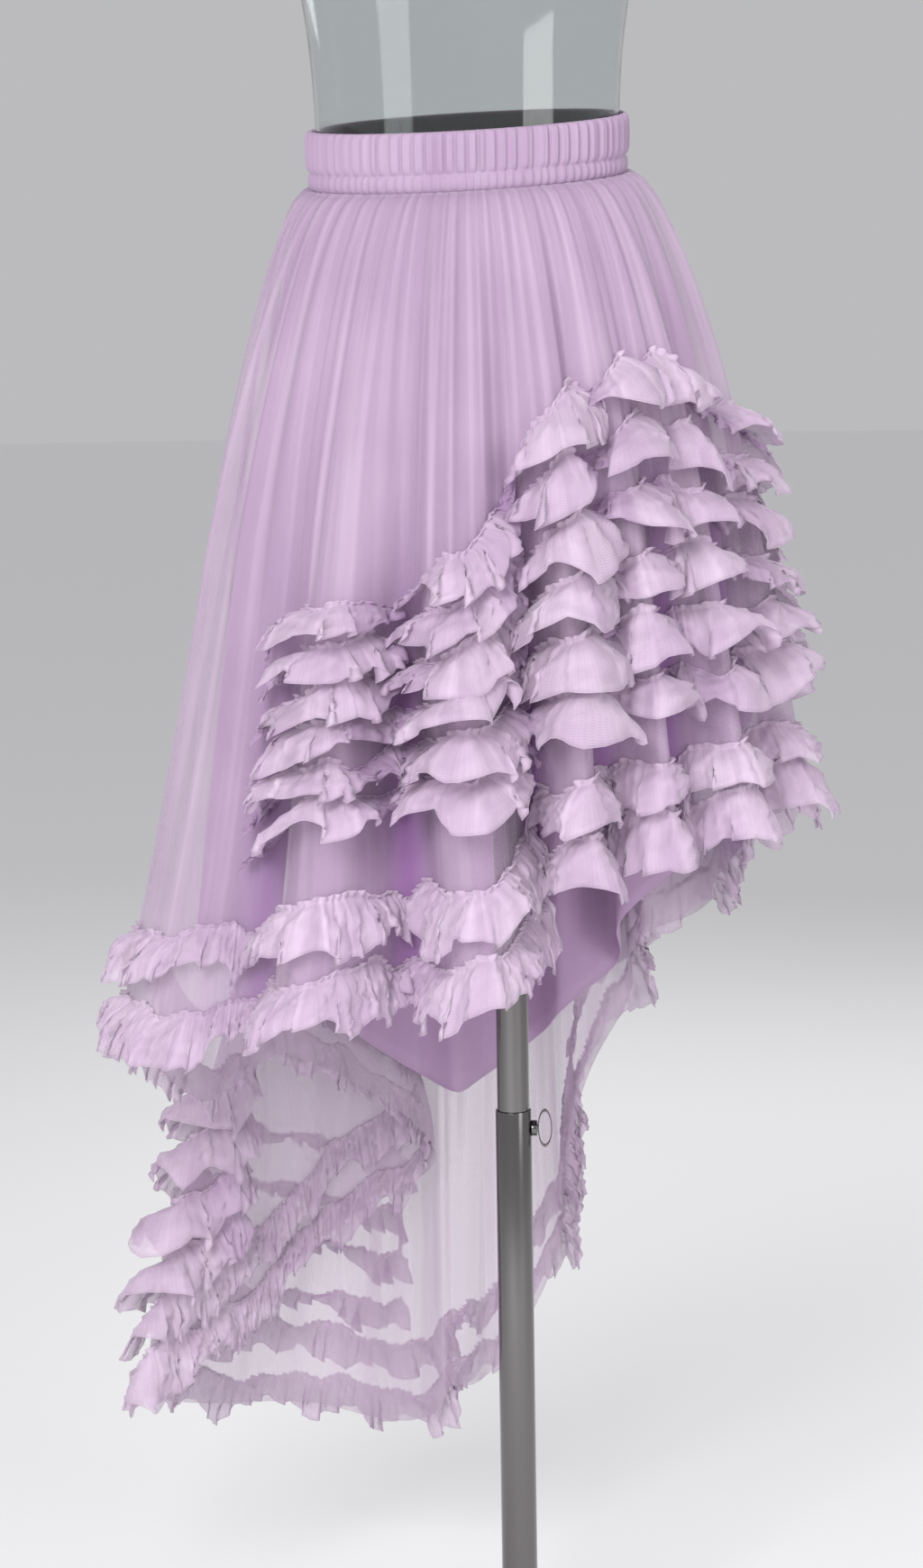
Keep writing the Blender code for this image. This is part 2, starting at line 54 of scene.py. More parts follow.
tilt = Matrix.Rotation(math.pi / 2 - math.radians(CAMERA_DOWN_DEG), 3, "X")
roll = Matrix.Rotation(math.radians(CAMERA_ROLL_DEG), 3, "Z")
camera.rotation_euler = (tilt @ roll).to_euler()
bpy.context.scene.camera = camera

SOFT_LAMPS = (
    # name, place, turn about X and Z in degrees, width, height, watts
    ("key lamp", (-1.0, -2.9, 2.3), (56, -19), 1.4, 1.6, 80),
    ("fill lamp", (2.2, -2.2, 1.5), (76, 45), 1.2, 2.0, 22),
    ("rim lamp", (0.9, 2.4, 2.3), (-58, -20), 1.6, 1.4, 24),
)
for name, place, (nod, swing), width, height, watts in SOFT_LAMPS:
    turned = (math.radians(nod), 0, math.radians(swing))
    bpy.ops.object.light_add(type="AREA", location=place, rotation=turned)
    lamp = bpy.context.object
    lamp.name = name
    lamp.data.shape = "RECTANGLE"
    lamp.data.size = width
    lamp.data.size_y = height
    lamp.data.energy = watts
    # The large key lamp lights the form but isn't seen through it.
    lamp.visible_transmission = name != "key lamp"


def new_finish(name):
    """A material, with its nodes still to be set."""
    finish = bpy.data.materials.new(name)
    finish.use_nodes = True
    return finish


def shader_of(finish):
    return finish.node_tree.nodes["Principled BSDF"]


def feed(finish, node, inputs):
    """Links other nodes' outputs to a node's sockets, or sets the sockets' own values."""
    for name, value in inputs.items():
        socket = node.inputs[name]
        if isinstance(value, bpy.types.NodeSocket):
            finish.node_tree.links.new(value, socket)
        else:
            socket.default_value = value


room = bpy.data.worlds.new("pale room")
bpy.context.scene.world = room
room.use_nodes = True
feed(room, room.node_tree.nodes["Background"], {"Color": (0.80, 0.80, 0.82, 1), "Strength": 0.62})

FLOOR_RADIUS = 30
bpy.ops.mesh.primitive_circle_add(vertices=64, radius=FLOOR_RADIUS, fill_type="NGON")
floor = bpy.context.object
floor.name = "floor"
floor_paint = new_finish("pale floor")
feed(floor_paint, shader_of(floor_paint), {"Base Color": (0.94, 0.94, 0.945, 1), "Roughness": 0.8})
floor.data.materials.append(floor_paint)
bpy.context.scene.view_settings.view_transform = "Standard"
bpy.context.scene.cycles.max_bounces = 6
bpy.context.scene.cycles.diffuse_bounces = 2
bpy.context.scene.cycles.transmission_bounces = 6
bpy.context.scene.cycles.transparent_max_bounces = 24


# Stand: a telescopic pole of two polished steel tubes in a weighted round plate of brushed steel.
# The thin upper pole slides in the lower tube, and a thumb screw with a wire loop clamps it.
SEAM_GAP = 0.0003
BASE_RADIUS = 0.160
BASE_THICK = 0.008
BASE_EDGE = 0.0016
BASE_STEPS = 128
BOSS_RADIUS = 0.024
BOSS_TOP = 0.034
BOSS_MARGIN = 0.004
TUBE_RADIUS = 0.014
TUBE_BORE = 0.0128
TUBE_BORE_DEPTH = 0.2
TUBE_EDGE = 0.0005
TUBE_TOP = 0.482
POLE_RADIUS = 0.0125
POLE_BORE = 0.0110
POLE_BORE_DEPTH = 0.02
POLE_FOOT = 0.200
POLE_TOP = 0.960
SCREW_HEIGHT = 0.467
COLLAR_RADIUS = 0.0062
COLLAR_LENGTH = 0.0048
COLLAR_MIDDLE = 0.0160
COLLAR_EDGE = 0.0006
COLLAR_STEPS = 48
THREAD_RADIUS = 0.003
THREAD_LENGTH = 0.0060
THREAD_MIDDLE = 0.0163
THREAD_STEPS = 32
LOOP_MIDDLE = 0.0245
LOOP_HALF_WIDTH = 0.0052
LOOP_HALF_HEIGHT = 0.0140
LOOP_WIRE = 0.0012
ROUND_STEPS = 96
ALONG_X = (0, math.pi / 2, 0)
FACING = 0.9
SMOOTH_BELOW_DEG = 35


def add_node(finish, kind, inputs, **settings):
    """Adds a node: inputs are its sockets, settings its own choices."""
    node = finish.node_tree.nodes.new("ShaderNode" + kind)
    for name, value in settings.items():
        setattr(node, name, value)
    feed(finish, node, inputs)
    return node


def speckle(finish, source, scale, detail, stretch=(1, 1, 1)):
    """Noise over the piece: source is Object, or UV for the flat cloth."""
    place = add_node(finish, "TexCoord", {})
    mapping = add_node(finish, "Mapping", {"Vector": place.outputs[source], "Scale": stretch})
    inputs = {"Vector": mapping.outputs["Vector"], "Scale": scale, "Detail": detail}
    return add_node(finish, "TexNoise", inputs).outputs["Fac"]


def spread_over(finish, value, low, high, to_low, to_high):
    """The value, taken from the range low to high and stretched over to_low to to_high."""
    inputs = {"Value": value, "From Min": low, "From Max": high, "To Min": to_low, "To Max": to_high}
    return add_node(finish, "MapRange", inputs).outputs["Result"]


def add_bump(finish, height, strength, distance):
    """Makes the finish look raised where height is large, by distance in metres."""
    bump = add_node(finish, "Bump", {"Height": height, "Strength": strength, "Distance": distance})
    feed(finish, shader_of(finish), {"Normal": bump.outputs["Normal"]})


def steel_finish(name, colour, roughness, stretch, rubbed):
    """Bare steel, drawn or brushed in fine lines. stretch says how the lines run along each axis, and rubbed
    how much rougher they are."""
    finish = new_finish(name)
    lines = speckle(finish, "Object", scale=90, detail=6, stretch=stretch)
    rough = spread_over(finish, lines, 0, 1, roughness, roughness + rubbed)
    feed(finish, shader_of(finish), {"Base Color": (*colour, 1), "Metallic": 1.0, "Roughness": rough})
    add_bump(finish, lines, strength=0.08, distance=0.0002)
    return finish


def cylinder(radius, length, middle, steps=ROUND_STEPS, turned=(0, 0, 0)):
    """A closed cylinder, upright unless it is turned, which the next steps work on."""
    bpy.ops.mesh.primitive_cylinder_add(
        vertices=steps, radius=radius, depth=length, location=middle, rotation=turned
    )
    return bpy.context.object


def pick_faces(piece, wanted):
    """In edit mode, selects the faces whose normal passes the test."""
    bpy.ops.object.mode_set(mode="EDIT")
    bpy.ops.mesh.select_mode(type="FACE")
    bpy.ops.mesh.select_all(action="DESELECT")
    shape = bmesh.from_edit_mesh(piece.data)
    for face in shape.faces:
        face.select_set(bool(wanted(face.normal)))
    bmesh.update_edit_mesh(piece.data)


def raise_faces(distance):
    """Draws the picked faces straight up, or down where the distance is below 0."""
    bpy.ops.mesh.extrude_region_move(TRANSFORM_OT_translate={"value": (0, 0, distance)})


def apply_step(piece, kind, **settings):
    """Adds a modifier with these settings and applies it."""
    step = piece.modifiers.new(kind.title(), kind)
    for name, value in settings.items():
        setattr(step, name, value)
    bpy.ops.object.modifier_apply(modifier=step.name)


def round_edges(piece, width, segments=3, above_deg=40):
    """Rounds the edges that turn by more than above_deg."""
    limit = math.radians(above_deg)
    apply_step(piece, "BEVEL", width=width, segments=segments, limit_method="ANGLE", angle_limit=limit)


def smooth_faces():
    """Shades the piece in hand smooth, apart from its real edges."""
    bpy.ops.object.shade_smooth_by_angle(angle=math.radians(SMOOTH_BELOW_DEG))


def settle(piece, name, finish, body, *nodes, slot):
    """Puts a finished piece's place into its mesh and gives it its name, finish and body. slot is not used.
    """
    bpy.ops.object.select_all(action="DESELECT")
    piece.select_set(True)
    bpy.context.view_layer.objects.active = piece
    bpy.ops.object.transform_apply(location=True, rotation=True, scale=True)
    piece.name = name
    piece.data.name = name
    piece.data.materials.clear()
    piece.data.materials.append(finish)
    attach(piece, body)
    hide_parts(*nodes)


plate_steel = steel_finish(
    "brushed plate steel", colour=(0.46, 0.46, 0.45), roughness=0.26, stretch=(1, 14, 1), rubbed=0.16
)
# Painted shade: the tube steel's low base colour darkens it to stand for dark surroundings in its
# reflections; the steel itself is a lighter grey.
tube_steel_painted_dark = steel_finish(
    "polished tube steel", colour=(0.20, 0.19, 0.19), roughness=0.13, stretch=(26, 26, 0.6), rubbed=0.09
)

plate = cylinder(BASE_RADIUS, BASE_THICK, (0, 0, BASE_THICK / 2), BASE_STEPS)
pick_faces(plate, lambda normal: normal.z > FACING)
bpy.ops.mesh.inset(thickness=BASE_RADIUS - BOSS_RADIUS - BOSS_MARGIN)
bpy.ops.mesh.inset(thickness=BOSS_MARGIN)
raise_faces(BOSS_TOP - BASE_THICK)
bpy.ops.mesh.inset(thickness=BOSS_RADIUS - TUBE_RADIUS - SEAM_GAP)
raise_faces(BASE_THICK - BOSS_TOP)
bpy.ops.object.mode_set(mode="OBJECT")
round_edges(plate, BASE_EDGE)
smooth_faces()
settle(plate, "stand_plate", plate_steel, "stand", "base_plate", slot="steel")

tube = cylinder(TUBE_RADIUS, TUBE_TOP - BASE_THICK, (0, 0, (TUBE_TOP + BASE_THICK) / 2))
pick_faces(tube, lambda normal: normal.z > FACING)
bpy.ops.mesh.inset(thickness=TUBE_RADIUS - TUBE_BORE)
raise_faces(-TUBE_BORE_DEPTH)
bpy.ops.object.mode_set(mode="OBJECT")
round_edges(tube, TUBE_EDGE)
smooth_faces()
settle(tube, "stand_tube", tube_steel_painted_dark, "stand", "lower_tube", slot="chrome")

pole = cylinder(POLE_RADIUS, POLE_TOP - POLE_FOOT, (0, 0, (POLE_TOP + POLE_FOOT) / 2))
pick_faces(pole, lambda normal: abs(normal.z) > FACING)
bpy.ops.mesh.inset(thickness=POLE_RADIUS - POLE_BORE, use_individual=True)
bpy.ops.mesh.extrude_faces_move(TRANSFORM_OT_shrink_fatten={"value": -POLE_BORE_DEPTH})
bpy.ops.object.mode_set(mode="OBJECT")
smooth_faces()
settle(pole, "stand_pole", tube_steel_painted_dark, "mast", "upper_pole", slot="chrome")

collar = cylinder(COLLAR_RADIUS, COLLAR_LENGTH, (COLLAR_MIDDLE, 0, SCREW_HEIGHT), COLLAR_STEPS, ALONG_X)
round_edges(collar, COLLAR_EDGE)
smooth_faces()
settle(collar, "clamp_collar", tube_steel_painted_dark, "stand", "clamp_boss", slot="chrome")

bpy.ops.mesh.primitive_torus_add(
    major_segments=64, minor_segments=14, major_radius=LOOP_HALF_HEIGHT, minor_radius=LOOP_WIRE,
    location=(LOOP_MIDDLE, 0, SCREW_HEIGHT), rotation=(math.pi / 2, 0, 0)
)
wire = bpy.context.object
wire.scale = (LOOP_HALF_WIDTH / LOOP_HALF_HEIGHT, 1, 1)
cylinder(THREAD_RADIUS, THREAD_LENGTH, (THREAD_MIDDLE, 0, SCREW_HEIGHT), THREAD_STEPS, ALONG_X)
wire.select_set(True)
bpy.context.view_layer.objects.active = wire
bpy.ops.object.join()
smooth_faces()
settle(wire, "clamp_loop", tube_steel_painted_dark, "screw", "clamp_screw", slot="chrome")


# Dress form: a smooth limbless body of clear moulded plastic, open below, with a capped neck.
# It stands on the pole by an oval foot plate and a socket of the same plastic.
WAIST_X = -0.0245
FORM_COLUMNS = ("height", "half_width", "half_depth", "forward")
FORM_SECTIONS = (
    (0.940, 0.138, 0.100, -0.002),
    (0.985, 0.147, 0.107, -0.004),
    (1.040, 0.146, 0.107, -0.004),
    (1.110, 0.133, 0.099, -0.002),
    (1.160, 0.1190, 0.0940, 0.000),
    (1.195, 0.1158, 0.0922, 0.000),
    (1.262, 0.1156, 0.0920, 0.000),
    (1.330, 0.1225, 0.0980, 0.004),
    (1.400, 0.1370, 0.1100, 0.009),
    (1.470, 0.1480, 0.1180, 0.012),
    (1.530, 0.1560, 0.1080, 0.006),
    (1.580, 0.1620, 0.0900, -0.002),
    (1.615, 0.1500, 0.0720, -0.008),
    (1.640, 0.1080, 0.0600, -0.010),
    (1.660, 0.0660, 0.0540, -0.010),
    (1.700, 0.0560, 0.0560, -0.010),
)
FORM_THICK = 0.003
FORM_LEVELS = 120
FORM_STEPS = 160
FOOT_THICK = 0.006
FOOT_EDGE = 0.0008
SOCKET_RADIUS = 0.020
SOCKET_FOOT = 0.920
SOCKET_TOP = 1.010
SOCKET_BORE_FOOT = 0.900
SOCKET_BORE_TOP = POLE_TOP + SEAM_GAP
CAP_RISE = 0.012
CAP_OVERHANG = 0.002
CAP_EDGE = 0.003
WELD_BELOW = 0.000005


def table(names, rows):
    """The rows of a table as one array for each named column."""
    return {name: np.array(column, float) for name, column in zip(names, zip(*rows))}


def curve_through(knots, values, slopes, at):
    """The smooth curve through the knots that has these slopes there."""
    step = np.diff(knots)
    i = np.clip(np.searchsorted(knots, at, side="right") - 1, 0, len(step) - 1)
    part = (at - knots[i]) / step[i]
    return (
        values[i] * (1 + 2 * part) * (1 - part) ** 2
        + slopes[i] * step[i] * part * (1 - part) ** 2
        + values[i + 1] * part**2 * (3 - 2 * part)
        + slopes[i + 1] * step[i] * part**2 * (part - 1)
    )


def form_line(name, at):
    """A column of the form's sections at these heights, smooth from one section to the next."""
    slope = np.diff(form[name]) / np.diff(form["height"])
    slopes = np.concatenate([slope[:1], slope, slope[-1:]])
    return curve_through(form["height"], form[name], (slopes[:-1] + slopes[1:]) / 2, at)[:, None]


def laid_sheet(places, across, down, closed=True, valley=None):
    """A grid of cloth or plastic with its points at `places`, a row of them for each level from the top down.
    across and down are each point's place on the flat piece in metres, for its UV map. closed joins the
    grid's edges where they meet. valley, from 0 to 1, is kept on each point as its valley attribute: how much
    painted shade a finish lays there between the flutes."""
    rows, columns = places.shape[:2]
    bpy.ops.mesh.primitive_grid_add(x_subdivisions=columns - 1, y_subdivisions=rows - 1, size=2)
    piece = bpy.context.object
    spots = np.empty(len(piece.data.vertices) * 3)
    piece.data.vertices.foreach_get("co", spots)
    spots = spots.reshape(-1, 3)
    column = np.rint((spots[:, 0] + 1) / 2 * (columns - 1)).astype(int)
    row = np.rint((spots[:, 1] + 1) / 2 * (rows - 1)).astype(int)
    piece.data.vertices.foreach_set("co", places[row, column].astype(np.float32).ravel())
    corner = np.empty(len(piece.data.loops), np.int32)
    piece.data.loops.foreach_get("vertex_index", corner)
    flat = np.stack([across[row, column], down[row, column]], axis=1)[corner]
    piece.data.uv_layers[0].data.foreach_set("uv", flat.astype(np.float32).ravel())
    # The valley attribute is a mask of painted shade between the flutes.
    if valley is not None:
        depth = piece.data.attributes.new("valley", "FLOAT", "POINT")
        depth.data.foreach_set("value", valley[row, column].astype(np.float32))
    piece.data.update()
    if closed:
        bpy.ops.object.mode_set(mode="EDIT")
        bpy.ops.mesh.select_all(action="SELECT")
        bpy.ops.mesh.remove_doubles(threshold=WELD_BELOW)
        bpy.ops.object.mode_set(mode="OBJECT")
    bpy.ops.object.shade_smooth()
    return piece


# Faint flow lines from the mould roughen the clear plastic a little.
clear_plastic = new_finish("clear form plastic")
flow = speckle(clear_plastic, "Object", scale=7, detail=3)
clear_inputs = {
    "Base Color": (0.86, 0.89, 0.89, 1),
    "Transmission Weight": 1.0,
    "IOR": 1.46,
    "Roughness": spread_over(clear_plastic, flow, 0, 1, 0.02, 0.07),
}
feed(clear_plastic, shader_of(clear_plastic), clear_inputs)
add_bump(clear_plastic, flow, strength=0.12, distance=0.004)

# The wall's section runs down the outside, up the inside and back to its start.
form = table(FORM_COLUMNS, FORM_SECTIONS)
levels = np.linspace(form["height"][-1], form["height"][0], FORM_LEVELS)
levels = np.concatenate([levels, levels[::-1], levels[:1]])
inset = np.repeat([0.0, FORM_THICK, 0.0], [FORM_LEVELS, FORM_LEVELS, 1])[:, None]
turn = np.linspace(0, 2 * np.pi, FORM_STEPS + 1)[None, :]
x = WAIST_X + (form_line("half_width", levels) - inset) * np.cos(turn)
y = -form_line("forward", levels) - (form_line("half_depth", levels) - inset) * np.sin(turn)
places = np.stack([x, y, levels[:, None] + 0 * turn], axis=-1)
body = laid_sheet(places, places[..., 0], places[..., 2])
settle(body, "form_body", clear_plastic, "form", "form_shell", slot="clear")

foot_height, foot_width, foot_depth, foot_forward = FORM_SECTIONS[0]
foot = cylinder(1, 1, (WAIST_X, -foot_forward, foot_height - SEAM_GAP - FOOT_THICK / 2))
foot.scale = (foot_width, foot_depth, FOOT_THICK)
bpy.ops.object.transform_apply(location=True, rotation=True, scale=True)
sleeve = cylinder(SOCKET_RADIUS, SOCKET_TOP - SOCKET_FOOT, (0, 0, (SOCKET_TOP + SOCKET_FOOT) / 2))
bore_middle = (SOCKET_BORE_TOP + SOCKET_BORE_FOOT) / 2
bore = cylinder(POLE_RADIUS + SEAM_GAP, SOCKET_BORE_TOP - SOCKET_BORE_FOOT, (0, 0, bore_middle))
bpy.context.view_layer.objects.active = foot
apply_step(foot, "BOOLEAN", operation="UNION", object=sleeve)
apply_step(foot, "BOOLEAN", operation="DIFFERENCE", object=bore)
round_edges(foot, FOOT_EDGE, segments=2, above_deg=50)
bpy.data.objects.remove(sleeve)
bpy.data.objects.remove(bore)
settle(foot, "form_foot", clear_plastic, "form", "form_socket", slot="clear")
smooth_faces()

neck_height, neck_width, _, neck_forward = FORM_SECTIONS[-1]
cap_height = CAP_RISE - SEAM_GAP
cap_middle = (WAIST_X, -neck_forward, neck_height + SEAM_GAP + cap_height / 2)
cap = cylinder(neck_width + CAP_OVERHANG, cap_height, cap_middle)
round_edges(cap, CAP_EDGE, segments=4)
smooth_faces()
settle(cap, "form_cap", plate_steel, "form", "neck_cap", slot="steel")


# Waistband: a casing of lilac cloth over wide elastic, drawn up into small upright gathers.
# Under its stitched lower edge runs a narrow ruched strip that the net and the lining hang from.
MM = 0.001
WAIST_HALF_WIDTH = 0.1205
WAIST_HALF_DEPTH = 0.0970
WAIST_TOP = 1.2425
WAIST_RISE_RIGHT = 0.043
WAIST_RISE_BACK = 0.120
BAND_HEIGHT = 0.031
STRIP_HEIGHT = 0.012
BAND_STEPS = 1080
GATHER_DRIFT = 1.6
WANDER = (
    # how far it strays, how often round the waist, and its start for each seed
    (0.9, 3, 1.3),
    (0.7, 7, 2.9),
    (0.5, 13, 4.1),
    (0.35, 23, 0.7),
)
BAND_GATHERS = {
    # mm that they stand out, how many round the waist, seed, sharpness
    "casing": (2.9, 74, 5.0, 0.55),
    "casing creases": (0.8, 149, 2.0, 1.6),
    "ruche": (1.2, 96, 3.0, 1.1),
}
CASING_SET_BACK = 1.8
RUCHE_SET_BACK = 0.6
BAND_COLUMNS = ("below", "out", "casing", "ruche")
BAND_PROFILE = (
    # mm below the top, mm out from the waist line, share of the casing's gathers and of the strip's
    (44.0, -3.2, 0.0, 0.3),
    (31.0, -3.6, 0.1, 0.2),
    (16.0, -3.9, 0.2, 0.0),
    (3.0, -3.7, 0.15, 0.0),
    (0.6, -3.0, 0.2, 0.0),
    (-0.2, -1.9, 0.4, 0.0),
    (0.5, -0.8, 0.6, 0.0),
    (2.2, -0.1, 0.8, 0.0),
    (5.0, 0.25, 1.0, 0.0),
    (9.0, 0.4, 1.0, 0.0),
    (14.0, 0.5, 1.0, 0.0),
    (19.0, 0.4, 1.0, 0.0),
    (23.5, 0.3, 1.0, 0.0),
    (27.0, -0.1, 0.9, 0.1),
    (29.2, -0.8, 0.7, 0.2),
    (30.4, -1.6, 0.4, 0.3),
    (31.2, -1.7, 0.2, 0.5),
    (32.4, -0.8, 0.1, 0.9),
    (34.5, -0.2, 0.0, 1.0),
    (37.5, 0.0, 0.0, 1.0),
    (40.2, -0.3, 0.0, 1.0),
    (42.4, -1.2, 0.0, 0.7),
    (43.6, -2.0, 0.0, 0.4),
    (44.0, -3.2, 0.0, 0.3),
)


def waist_radius(at):
    """Radius of the waist line at an angle in degrees, clockwise from the right as seen from above."""
    spin = np.radians(at)
    across = (WAIST_HALF_DEPTH * np.cos(spin)) ** 2 + (WAIST_HALF_WIDTH * np.sin(spin)) ** 2
    return WAIST_HALF_WIDTH * WAIST_HALF_DEPTH / np.sqrt(across)


def around(at, radius):
    """x and y at an angle and a radius from the waist's middle."""
    spin = np.radians(at)
    return WAIST_X + radius * np.cos(spin), -radius * np.sin(spin)


def waist_height(x, y):
    return WAIST_TOP + WAIST_RISE_RIGHT * (x - WAIST_X) + WAIST_RISE_BACK * y


def wander(at, seed):
    """A slow uneven drift round the skirt, so that no two gathers are alike."""
    spin = np.radians(at)
    return sum(size * np.sin(often * spin + start * seed) for size, often, start in WANDER)


def gathers(at, size, count, seed, sharpness):
    """Uneven gathers, about `count` of them round the waist, from 0 between two to `size` on a crest."""
    wave = 0.5 + 0.5 * np.cos(np.radians(count * at) + GATHER_DRIFT * wander(at, seed))
    return size * wave**sharpness


def combined(finish, operation, first, second):
    """Two numbers put together by a math node."""
    return add_node(finish, "Math", {0: first, 1: second}, operation=operation).outputs["Value"]


def blended(finish, factor, first, second):
    """A colour from first to second, as factor goes from 0 to 1."""
    inputs = {"Factor": factor, "A": first, "B": second}
    return add_node(finish, "Mix", inputs, data_type="RGBA").outputs["Result"]


THREAD_LEAN_DEG = 52
WAVE_RADIANS = 20
PATCH_SHARE = 0.6
STREAK_SHARE = 0.4
CRINKLE_SHARE = 4.0
# How opaque the painted shade between the flutes makes the cloth at most.
VALLEY_SHADE_COVER = 0.8
RIM_COVER = 0.75
RIM_WIDTH = 0.001
PATCH_RANGE = (0.36, 0.64)
THREAD_RANGE = (0.35, 0.95)
FOLDED_RANGE = (0.45, 0.72)


def cloth_finish(
    name, colour, shade, threads_mm, sheen, crinkle_mm=0.0, cover=None, folded=0.0, deep=None,
    streak=(52, 1.8), free_edge=None, thinned=1.0
):
    """Woven or netted lilac cloth. colour is its crests', shade its darker patches'.
    threads_mm is the distance between threads, and crinkle_mm the size of its small creases.
    cover is how much a mesh hole and a thread hide of what is behind, and folded adds streaks where net lies
    double. deep is a painted shade colour that the valley attribute lays on between the flutes, where shade
    falls; it also stands partly for the many layers of net there, and where cover is set it makes the cloth
    more opaque there. streak is how many light and dark streaks a metre of cloth has across and down.
    free_edge is how far the free edge is below the seam in metres, and thinned its share of the cover. A
    narrow folded rim runs along it."""
    finish = new_finish(name)
    cloth_inputs = {
        "Roughness": 0.72,
        "Specular IOR Level": 0.25,
        "Sheen Weight": sheen,
        "Sheen Roughness": 0.45,
        "Sheen Tint": (0.96, 0.86, 1.0, 1),
    }
    feed(finish, shader_of(finish), cloth_inputs)
    flat = add_node(finish, "TexCoord", {}).outputs["UV"]
    waves = []
    for lean in (THREAD_LEAN_DEG, -THREAD_LEAN_DEG):
        mapping = add_node(finish, "Mapping", {"Vector": flat, "Rotation": (0, 0, math.radians(lean))})
        scale = 2 * math.pi / (WAVE_RADIANS * threads_mm * MM)
        wave = add_node(finish, "TexWave", {"Vector": mapping.outputs["Vector"], "Scale": scale})
        waves.append(wave.outputs["Fac"])
    threads = combined(finish, "MAXIMUM", *waves)
    streaks = speckle(finish, "UV", scale=1.0, detail=2, stretch=(*streak, 1))
    clouds = speckle(finish, "Object", scale=11, detail=2)
    patches = combined(
        finish, "ADD", combined(finish, "MULTIPLY", clouds, PATCH_SHARE),
        combined(finish, "MULTIPLY", streaks, STREAK_SHARE)
    )
    shown = blended(finish, spread_over(finish, patches, *PATCH_RANGE, 0, 1), (*shade, 1), (*colour, 1))
    # Painted shade: the deep colour darkens the cloth by its valley attribute between the flutes, where shade
    # falls, and partly stands for the many layers of net there.
    if deep:
        valley = add_node(finish, "Attribute", {}, attribute_name="valley").outputs["Fac"]
        shown = blended(finish, valley, shown, (*deep, 1))
    feed(finish, shader_of(finish), {"Base Color": shown})
    height = threads
    if crinkle_mm:
        crinkle = speckle(finish, "Object", scale=1000 / crinkle_mm, detail=3)
        height = combined(finish, "ADD", combined(finish, "MULTIPLY", crinkle, CRINKLE_SHARE), threads)
    add_bump(finish, height, strength=0.30, distance=0.0002)
    if cover:
        hidden = spread_over(finish, threads, *THREAD_RANGE, *cover)
        if folded:
            doubled = spread_over(finish, streaks, *FOLDED_RANGE, 0, folded)
            hidden = combined(finish, "ADD", hidden, doubled)
        if deep:
            # Painted shade: between the flutes the cloth turns more opaque, so that its painted dark colour
            # shows.
            hidden = combined(finish, "MAXIMUM", hidden, combined(finish, "MULTIPLY", valley, VALLEY_SHADE_COVER))
        if free_edge:
            below = add_node(finish, "SeparateXYZ", {"Vector": flat}).outputs["Y"]
            thinner = spread_over(finish, below, 0.0, free_edge, 1, thinned)
            rim = spread_over(finish, below, free_edge - RIM_WIDTH, free_edge, 0, RIM_COVER)
            hidden = combined(finish, "MAXIMUM", combined(finish, "MULTIPLY", hidden, thinner), rim)
        feed(finish, shader_of(finish), {"Alpha": hidden})
    return finish


band_cloth = cloth_finish(
    "waistband cloth", colour=(0.50, 0.37, 0.52), shade=(0.44, 0.31, 0.46), threads_mm=0.8, sheen=0.35,
    crinkle_mm=3.0
)
profile = table(BAND_COLUMNS, BAND_PROFILE)
at = np.linspace(0, 360, BAND_STEPS + 1)[None, :]
casing = gathers(at, *BAND_GATHERS["casing"]) - CASING_SET_BACK + gathers(at, *BAND_GATHERS["casing creases"])
ruche = gathers(at, *BAND_GATHERS["ruche"]) - RUCHE_SET_BACK
out = profile["out"][:, None] + profile["casing"][:, None] * casing + profile["ruche"][:, None] * ruche
x, y = around(at, waist_radius(at) + MM * out)
places = np.stack([x, y, waist_height(x, y) - MM * profile["below"][:, None]], axis=-1)
band_length = 2 * np.pi * math.sqrt((WAIST_HALF_WIDTH**2 + WAIST_HALF_DEPTH**2) / 2)
across = at / 360 * band_length + 0 * places[..., 2]
steps_down = np.abs(np.diff(profile["below"], prepend=profile["below"][0]))
down = MM * np.cumsum(steps_down)[:, None] + 0 * across
band = laid_sheet(places, across, down)
settle(band, "gathered_waistband", band_cloth, "form", "waistband", slot="band")


# Lining: an under-skirt of soft opaque lilac cloth, one flared tube gathered into the band.
# Its own hem is shorter than the net's, above the knee at the front right and long at the back left.
NET_THICK = 0.0012
FLARE = 0.61
FOLD_GROWTH = 1.2
LINING_DRAW_IN = 1.3
LINING_EASE = 0.004
LINING_EASED_BY = 0.08
LINING_GATHERS = (0.0016, 66, 4.0, 1.6)
LINING_GATHERS_FADE = 0.22
LINING_FOLD_GATHERS = (0.0045, 23, 5.0, 1.0)
LINING_FOLD_RISE = 0.7
LINING_HEM_WIDTH = 1.6
